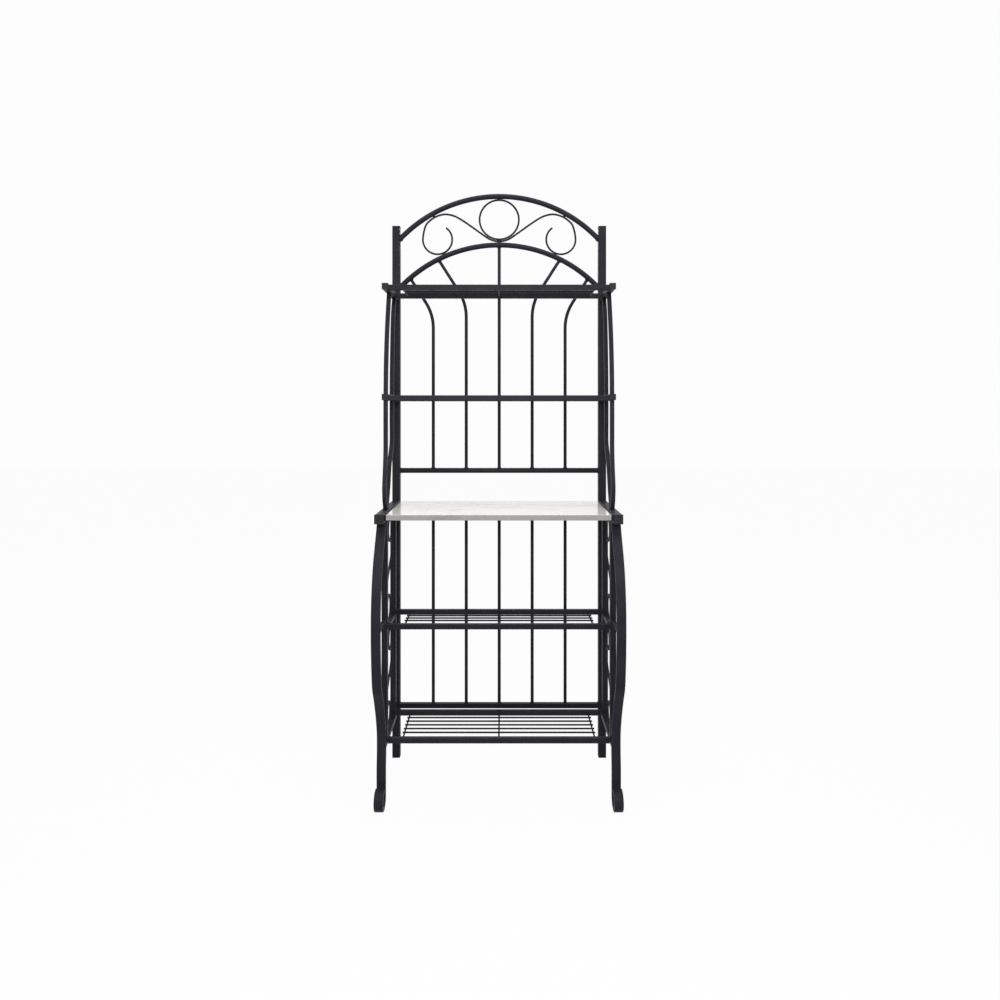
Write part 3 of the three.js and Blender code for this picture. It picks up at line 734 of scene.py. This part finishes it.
class RACK_OT_side_bars(bpy.types.Operator):
    """Build the bent bars that join the tiers at each side"""
    bl_idname = "rack.side_bars"
    bl_label = "Side Bars"

    def execute(self, context):
        sizes = context.scene.rack_sizes
        low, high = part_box("upper_outer_bar_right")
        reach = POST_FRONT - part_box("tier_side_rail_right")[0].y
        ring = square_ring(high.x - low.x, sizes.bar_corner)
        leaning = [((sizes.inner_bar - lean * sizes.inner_lean) / reach, rise) for lean, rise in INNER_LEAN]
        for name, side in SIDES:
            for place, route in (("outer", UPPER_BAR), ("inner", leaning)):
                mesh = self.bent_bar(side, route, ring, low, high, sizes)
                coated_piece(f"bent_bar_{place}_{name}", mesh, f"upper_{place}_bar_{name}", square=True)
            self.lower_bars(name, side, ring, sizes.inner_bar / reach, sizes)
        return {"FINISHED"}

    def bent_bar(self, side, route, ring, low, high, sizes):
        """One bar, cut off level at both ends."""
        mesh = bmesh.new()
        add_tube(mesh, bar_path(side, route, low.z, high.z, sizes), ring, ACROSS)
        cut_level(mesh, low, high)
        return mesh

    def lower_bars(self, name, side, ring, share, sizes):
        """The two bars that meet on the counter's rail, as one piece."""
        low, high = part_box(f"lower_side_bars_{name}")
        inner = [(share, rise) for rise in INNER_RISE] + INNER_FOOT
        mesh = bmesh.new()
        for route in (LOWER_OUTER, inner):
            part = self.bent_bar(side, route, ring, low, high, sizes)
            data = bpy.data.meshes.new("part")
            part.to_mesh(data)
            part.free()
            mesh.from_mesh(data)
            bpy.data.meshes.remove(data)
        coated_piece(f"bent_bars_lower_{name}", mesh, f"lower_side_bars_{name}", square=True)


class RACK_OT_side_scrolls(bpy.types.Operator):
    """Build the wire scrolls in the lower side bays"""
    bl_idname = "rack.side_scrolls"
    bl_label = "Side Scrolls"

    def execute(self, context):
        sizes = context.scene.rack_sizes
        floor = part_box("bottom_side_rail_right")[1].z
        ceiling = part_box("counter_side_rail_right")[0].z
        middle = middle_level("middle_shelf")
        half = sizes.middle_rail / 2
        ring = round_ring(sizes.scroll_wire, SCROLL_SIDES)
        for name, side in SIDES:
            for level, low, high in (("lower", floor, middle - half), ("upper", middle + half, ceiling)):
                path = side_scroll_path(side, low, high, sizes)
                tube_piece(f"wire_scroll_{level}_{name}", f"{level}_side_scroll_{name}", path, ring, ACROSS)
        return {"FINISHED"}


class RACK_OT_back_panels(bpy.types.Operator):
    """Build the arches, the panel bar and the rods"""
    bl_idname = "rack.back_panels"
    bl_label = "Back Panels"

    def execute(self, context):
        sizes = context.scene.rack_sizes
        tube = round_ring(sizes.arch_tube, ARCH_SIDES)
        end = POST_INNER - JOINT_GAP
        for node in ("upper_arch", "lower_arch"):
            mesh = bmesh.new()
            add_tube(mesh, Arch(node).path(end + CUT_SPARE), tube, DEPTH)
            for side in (-1, 1):
                cut_flat(mesh, ACROSS * side * end, ACROSS * side)
            coated_piece(f"{node}_tube", mesh, node)
        middle = middle_level("upper_panel_bar")
        bar = [panel_point(x, middle) for x in (-end, end)]
        tube_piece("panel_bar_tube", "upper_panel_bar", bar, tube, DEPTH)
        self.rods(sizes)
        return {"FINISHED"}

    def rods(self, sizes):
        ring = round_ring(sizes.panel_rod, ROD_SIDES)
        for index, x in enumerate(rod_places()):
            upper, lower = f"upper_back_rod_{index + 1}", f"lower_back_rod_{index + 1}"
            tube_piece(f"upper_rod_{index + 1}", upper, upper_rod_path(index, sizes), ring, DEPTH)
            straight = [panel_point(x, corner.z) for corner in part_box(lower)]
            tube_piece(f"lower_rod_{index + 1}", lower, straight, ring, DEPTH)


class RACK_OT_arch_ornament(bpy.types.Operator):
    """Build the ring and the scroll wire between the arches"""
    bl_idname = "rack.arch_ornament"
    bl_label = "Arch Ornament"

    def execute(self, context):
        sizes = context.scene.rack_sizes
        low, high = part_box("arch_ring")
        middle = (low + high) / 2
        radius = (high.z - low.z - sizes.scroll_wire) / 2
        ring = round_ring(sizes.scroll_wire, SCROLL_SIDES)
        turns = [2 * math.pi * i / ARCH_SPANS for i in range(ARCH_SPANS)]
        circle = [panel_point(radius * math.sin(a), middle.z + radius * math.cos(a)) for a in turns]
        tube_piece("arch_ring_wire", "arch_ring", circle, ring, DEPTH, closed=True)
        scroll = arch_scroll_path(sizes)
        tube_piece("arch_scroll", "arch_scroll_wire", scroll, ring, DEPTH, SCROLL_CHAMFER)
        return {"FINISHED"}


class RACK_OT_shelves(bpy.types.Operator):
    """Build the four welded wire shelves"""
    bl_idname = "rack.shelves"
    bl_label = "Wire Shelves"

    def execute(self, context):
        sizes = context.scene.rack_sizes
        rail_ring = square_ring(sizes.shelf_rail, sizes.bar_corner)
        half = sizes.shelf_rail / 2
        for node, wires in SHELF_WIRES:
            low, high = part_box(node)
            level = middle_level(node)
            mesh = bmesh.new()
            for y in (low.y + half, high.y - half):
                rail = [Vector((x, y, level)) for x in (low.x, high.x)]
                add_tube(mesh, rail, rail_ring, DEPTH)
            self.mat(mesh, low.y, high.y, level, wires, sizes)
            coated_piece(f"wire_{node}", mesh, node, square=True)
        return {"FINISHED"}

    def mat(self, mesh, front, rear, level, wires, sizes):
        """Cross wires welded to the rails, and long wires that lie sunk in them."""
        ring = round_ring(sizes.shelf_wire, WIRE_SIDES)
        sunk = (sizes.shelf_wire - WIRE_SINK) / 2
        reach = POST_INNER - WIRE_INSET
        near, far = front + sizes.shelf_rail - CROSS_SINK, rear - sizes.shelf_rail + CROSS_SINK
        for x in (CROSS_INSET - reach, 0, reach - CROSS_INSET):
            add_tube(mesh, [Vector((x, y, level - sunk)) for y in (near, far)], ring, ACROSS)
            for y, way in ((near + CROSS_SINK, 1), (far - CROSS_SINK, -1)):
                add_bead(mesh, Vector((x, y, level - sunk)), DEPTH * way, ring, WIRE_BEAD, ACROSS, x)
        middle = (front + rear) / 2
        for i in range(wires):
            y = middle + (i - (wires - 1) / 2) * sizes.wire_pitch
            wire = [Vector((x, y, level + sunk)) for x in (-reach, reach)]
            add_tube(mesh, wire, ring, DEPTH, WIRE_CHAMFER)


class RACK_OT_counter(bpy.types.Operator):
    """Ease the edges of the counter slab and polish it"""
    bl_idname = "rack.counter"
    bl_label = "Counter Slab"

    def execute(self, context):
        round_edges("counter_slab", STONE, context.scene.rack_sizes.slab_edge, segments=4)
        return {"FINISHED"}


class RACK_OT_plastic_ends(bpy.types.Operator):
    """Round the caps, plugs and glides"""
    bl_idname = "rack.plastic_ends"
    bl_label = "Caps and Glides"

    def execute(self, context):
        ends = ("rear_post_cap", "counter_rail_cap", "tier_rail_cap", "top_rail_cap", "front_leg_plug",
                "rear_foot_glide")
        for name, _ in SIDES:
            for node in ends:
                round_edges(f"{node}_{name}", PLASTIC, context.scene.rack_sizes.cap_edge, segments=4)
        return {"FINISHED"}


class RACK_OT_welds(bpy.types.Operator):
    """Lay the weld beads where tubes and rods meet"""
    bl_idname = "rack.welds"
    bl_label = "Weld Beads"

    def execute(self, context):
        sizes = context.scene.rack_sizes
        self.rod_welds(sizes)
        self.panel_welds(sizes)
        self.ornament_welds(sizes)
        self.side_welds(sizes)
        self.shelf_welds(sizes)
        return {"FINISHED"}

    def rod_welds(self, sizes):
        """Beads at both ends of each rod, with a seed of its own for the lumps of each."""
        bead = sizes.weld_bead
        rod = round_ring(sizes.panel_rod, ROD_BEAD_SIDES)
        arch = Arch("lower_arch")
        mesh = bmesh.new()
        for index, x in enumerate(rod_places()):
            path = upper_rod_path(index, sizes)
            along = (path[-1] - path[-2]).normalized()
            out = (path[-1] - panel_point(0, arch.centre)).normalized()
            seat = path[-1] - along * (arch.tube / 2 / out.dot(along))
            low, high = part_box(f"lower_back_rod_{index + 1}")
            add_bead(mesh, seat, -along, rod, bead, DEPTH, index)
            add_bead(mesh, path[0], UP, rod, bead, DEPTH, index + 9)
            add_bead(mesh, panel_point(x, low.z), UP, rod, bead, DEPTH, index + 20)
            add_bead(mesh, panel_point(x, high.z), -UP, rod, bead, DEPTH, index + 30)
        coated_piece("rod_weld_beads", mesh)

    def panel_welds(self, sizes):
        """Beads where the arches and the panels' bars meet the posts."""
        bead = sizes.weld_bead
        tube = round_ring(sizes.arch_tube, ARCH_BEAD_SIDES)
        mesh = bmesh.new()
        for side in (-1, 1):
            end = side * (POST_INNER - JOINT_GAP)
            for node in ("upper_arch", "lower_arch"):
                arch = Arch(node)
                slope = Vector((-side, 0, 0))
                slope.z = POST_INNER / math.sqrt(arch.radius ** 2 - POST_INNER ** 2)
                place = panel_point(end, arch.height(end))
                add_bead(mesh, place, slope.normalized(), tube, bead, DEPTH)
            for node in ("upper_panel_bar", "lower_panel_top_bar", "lower_panel_bottom_bar"):
                low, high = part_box(node)
                outline = square_ring(high.z - low.z, sizes.bar_corner)
                if node == "upper_panel_bar":
                    outline = tube
                place = panel_point(end, middle_level(node))
                add_bead(mesh, place, -ACROSS * side, outline, bead, DEPTH)
        coated_piece("panel_weld_beads", mesh)

    def ornament_welds(self, sizes):
        """Tacks above and below the ring, and where the scroll touches the arches."""
        mesh = bmesh.new()
        size = TACK_SHARE * sizes.scroll_wire
        low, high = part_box("arch_ring")
        upper, lower = Arch("upper_arch"), Arch("lower_arch")
        levels = (high.z, low.z, lower.apex + lower.tube / 2)
        for seed, (level, shape) in enumerate(zip(levels, MIDDLE_TACKS), 1):
            add_tack(mesh, panel_point(0, level), size, shape, seed)
        for seed, place in enumerate(self.scroll_touches(upper, lower, sizes), 4):
            for side in (-1, 1):
                spot = panel_point(side * place.x, place.z)
                add_tack(mesh, spot, size, SCROLL_TACK, seed + side)
        coated_piece("ornament_weld_tacks", mesh)

    def scroll_touches(self, upper, lower, sizes):
        """Where the right half of the scroll touches the upper arch, and where the lower one."""
        path = [place for place in arch_scroll_path(sizes) if place.x > 0]
        outer = [place for place in path if place.x > POST_INNER / 2]
        upper_centre, lower_centre = (panel_point(0, arch.centre) for arch in (upper, lower))
        high = max(path, key=lambda place: (place - upper_centre).length)
        low = min(outer, key=lambda place: (place - lower_centre).length)
        return (upper_centre + (high - upper_centre).normalized() * (upper.radius - upper.tube / 2),
                lower_centre + (low - lower_centre).normalized() * (lower.radius + lower.tube / 2))

    def side_welds(self, sizes):
        """Beads behind the side rails, at the inner bars' ends and at the uprights' ends."""
        bead = sizes.weld_bead
        mesh = bmesh.new()
        for name, side in SIDES:
            for node in ("bottom_side_rail", "tier_side_rail", "top_side_rail"):
                low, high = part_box(f"{node}_{name}")
                outline = square_ring(high.x - low.x, sizes.bar_corner, high.z - low.z)
                place = Vector(((low.x + high.x) / 2, high.y, (low.z + high.z) / 2))
                add_bead(mesh, place, -DEPTH, outline, bead, ACROSS, side)
            outline = square_ring(sizes.middle_rail, sizes.bar_corner)
            place = point_at(side, JOINT_GAP, middle_level("middle_shelf"))
            add_bead(mesh, place, -DEPTH, outline, bead, ACROSS, side)
            self.end_welds(mesh, name, side, sizes)
        coated_piece("side_weld_beads", mesh)

    def end_welds(self, mesh, name, side, sizes):
        """Beads at both ends of an upper inner bar and of the uprights under the counter."""
        bead = sizes.weld_bead * THIN_BEAD_SHARE
        low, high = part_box(f"upper_inner_bar_{name}")
        half = (high.x - low.x) / 2
        outline = square_ring(2 * half, sizes.bar_corner)
        for y, height, way in ((low.y + half, low.z, UP), (high.y - half, high.z, -UP)):
            add_bead(mesh, Vector((side * SIDE_PLANE, y, height)), way, outline, bead, ACROSS, side)
        low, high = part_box(f"front_post_{name}")
        outline = square_ring(sizes.upright, sizes.bar_corner)
        for y in (high.y - sizes.upright / 2, POST_FRONT - sizes.rear_upright):
            for height, way in ((low.z, UP), (high.z, -UP)):
                place = Vector((side * SIDE_PLANE, y, height))
                add_bead(mesh, place, way, outline, bead, ACROSS, side)

    def shelf_welds(self, sizes):
        """Beads at the four ends of each shelf's rails."""
        mesh = bmesh.new()
        bead = sizes.weld_bead * SHELF_BEAD_SHARE
        half = sizes.shelf_rail / 2
        outline = square_ring(sizes.shelf_rail, sizes.bar_corner)
        for node, _ in SHELF_WIRES:
            low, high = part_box(node)
            for x, way in ((low.x, 1), (high.x, -1)):
                for y in (low.y + half, high.y - half):
                    place = Vector((x, y, middle_level(node)))
                    add_bead(mesh, place, ACROSS * way, outline, bead, DEPTH, y)
        coated_piece("shelf_weld_beads", mesh)


# The stage: each lamp's name, place and size, and the point that all of them face

LAMPS = (
    ("overhead", (0, -0.6, 3.4), 2.6),
    ("front_fill", (0, -2.1, 1.45), 0.9),
    ("rear_fill", (0, 2.4, 2.6), 0.9),
)
LAMP_AIM = Vector((0, 0.05, 0.9))
FLOOR_REACH = 12
FLOOR_DROP = 0.0005
FLOOR_GREY = 0.7


class RACK_OT_stage(bpy.types.Operator):
    """Set the camera, the floor and the lights"""
    bl_idname = "rack.stage"
    bl_label = "Stage"

    def execute(self, context):
        view = context.scene.rack_view
        self.camera(context, view)
        self.floor(context, view)
        self.light(context, view)
        self.world(context, view)
        context.scene.view_settings.view_transform = "Standard"
        return {"FINISHED"}

    def camera(self, context, view):
        data = bpy.data.cameras.new("Camera")
        data.lens = view.lens
        data.shift_x = view.shift_across
        data.shift_y = view.shift
        camera = bpy.data.objects.new("Camera", data)
        camera.location = (view.sideways, POST_FRONT - view.distance, view.height)
        camera.rotation_euler = (math.radians(90), 0, 0)
        context.scene.collection.objects.link(camera)
        context.scene.camera = camera

    def floor(self, context, view):
        """A pale floor that shows nearly white and keeps the rack's shadow."""
        mesh = bmesh.new()
        bmesh.ops.create_grid(mesh, x_segments=2, y_segments=2, size=FLOOR_REACH)
        data = bpy.data.meshes.new("floor")
        mesh.to_mesh(data)
        mesh.free()
        floor = bpy.data.objects.new("floor", data)
        floor.location.z = -FLOOR_DROP
        context.scene.collection.objects.link(floor)
        material = bpy.data.materials.new("floor")
        material.use_nodes = True
        tree = material.node_tree
        shader = tree.nodes["Principled BSDF"]
        shader.inputs["Base Color"].default_value = (FLOOR_GREY, FLOOR_GREY, FLOOR_GREY, 1)
        shader.inputs["Roughness"].default_value = 0.9
        glow = tree.nodes.new("ShaderNodeEmission")
        share = add_math(tree, "MULTIPLY", self.seen(tree), view.floor_white)
        self.mix_shaders(tree, share, shader, glow, tree.nodes["Material Output"])
        floor.data.materials.append(material)

    def world(self, context, view):
        """Soft light from all round, and a backdrop that shows nearly white."""
        world = bpy.data.worlds.new("studio")
        world.use_nodes = True
        tree = world.node_tree
        ambience = tree.nodes["Background"]
        backdrop = tree.nodes.new("ShaderNodeBackground")
        for light, strength in ((ambience, view.ambience), (backdrop, view.backdrop)):
            light.inputs["Color"].default_value = (1, 1, 1, 1)
            light.inputs["Strength"].default_value = strength
        self.mix_shaders(tree, self.seen(tree), ambience, backdrop, tree.nodes["World Output"])
        context.scene.world = world

    def seen(self, tree):
        """One for what the camera, a gloss or a clear piece sees, else zero."""
        path = tree.nodes.new("ShaderNodeLightPath")
        total = path.outputs["Is Camera Ray"]
        for name in ("Is Glossy Ray", "Is Transmission Ray"):
            total = add_math(tree, "MAXIMUM", total, path.outputs[name])
        return total

    def mix_shaders(self, tree, factor, first, second, output):
        mix = tree.nodes.new("ShaderNodeMixShader")
        tree.links.new(factor, mix.inputs["Fac"])
        tree.links.new(first.outputs[0], mix.inputs[1])
        tree.links.new(second.outputs[0], mix.inputs[2])
        tree.links.new(mix.outputs[0], output.inputs["Surface"])

    def light(self, context, view):
        powers = (view.top_light, view.front_light, view.rear_light)
        for (name, place, size), power in zip(LAMPS, powers):
            data = bpy.data.lights.new(name, "AREA")
            data.size = size
            data.energy = power
            lamp = bpy.data.objects.new(name, data)
            lamp.location = place
            lamp.rotation_euler = (LAMP_AIM - Vector(place)).to_track_quat("-Z", "Y").to_euler()
            context.scene.collection.objects.link(lamp)


PIECE_OPERATORS = (
    RACK_OT_front_legs,
    RACK_OT_straight_tubes,
    RACK_OT_side_bars,
    RACK_OT_side_scrolls,
    RACK_OT_back_panels,
    RACK_OT_arch_ornament,
    RACK_OT_shelves,
    RACK_OT_counter,
    RACK_OT_plastic_ends,
    RACK_OT_welds,
    RACK_OT_stage,
)


class RACK_PT_panel(bpy.types.Panel):
    bl_label = "Bakers Rack"
    bl_space_type = "VIEW_3D"
    bl_region_type = "UI"
    bl_category = "Rack"

    def draw(self, context):
        layout = self.layout
        for group in (context.scene.rack_sizes, context.scene.rack_finish, context.scene.rack_view):
            box = layout.box()
            for name in group.__annotations__:
                box.prop(group, name)
        for operator in PIECE_OPERATORS:
            layout.operator(operator.bl_idname)


CLASSES = (RackSizes, RackFinish, RackView, *PIECE_OPERATORS, RACK_PT_panel)


def register():
    for cls in CLASSES:
        bpy.utils.register_class(cls)
    bpy.types.Scene.rack_sizes = PointerProperty(type=RackSizes)
    bpy.types.Scene.rack_finish = PointerProperty(type=RackFinish)
    bpy.types.Scene.rack_view = PointerProperty(type=RackView)


def unregister():
    for name in ("rack_sizes", "rack_finish", "rack_view"):
        delattr(bpy.types.Scene, name)
    for cls in reversed(CLASSES):
        bpy.utils.unregister_class(cls)


def main():
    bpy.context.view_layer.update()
    register()
    bpy.ops.rack.front_legs()
    bpy.ops.rack.straight_tubes()
    bpy.ops.rack.side_bars()
    bpy.ops.rack.side_scrolls()
    bpy.ops.rack.back_panels()
    bpy.ops.rack.arch_ornament()
    bpy.ops.rack.shelves()
    bpy.ops.rack.counter()
    bpy.ops.rack.plastic_ends()
    bpy.ops.rack.welds()
    bpy.ops.rack.stage()


if __name__ == "__main__":
    main()
